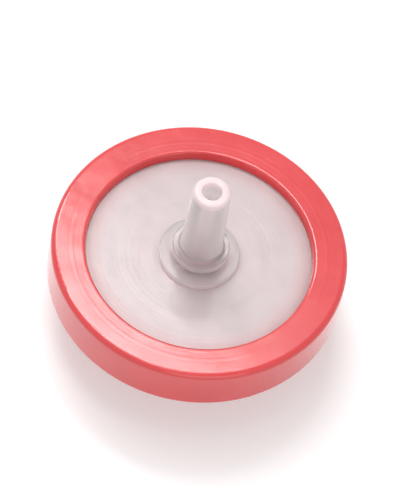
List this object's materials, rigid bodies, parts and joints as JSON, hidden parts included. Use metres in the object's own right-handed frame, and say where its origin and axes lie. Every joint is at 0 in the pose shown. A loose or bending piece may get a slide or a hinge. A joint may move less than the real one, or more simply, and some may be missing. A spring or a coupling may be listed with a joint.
{
  "type": "syringe filter",
  "caption": "Disc-shaped syringe filter with a red overmoulded ring, milky housing halves, a threaded female inlet hub and a tapered male outlet nozzle.",
  "frame": {"origin": "centre of the female inlet hub's end, on which the filter stands", "axes": "+Z along the filter's axis, from the inlet to the outlet's tip; +X across the disc, through the start of a lock thread"},
  "size_m": [0.032, 0.032, 0.023],
  "materials": {
    "natural_polypropylene": "milky, translucent, satin",
    "membrane_white": "matt, smooth",
    "red_polypropylene": "semi-gloss, coral red",
    "printed_ink": "dark grey pad print, on the visual model only"
  },
  "bodies": {
    "root": {"inlet_housing": "natural_polypropylene", "outlet_housing": "natural_polypropylene", "membrane": "membrane_white", "overmould_ring": "red_polypropylene"}
  },
  "joints": []
}
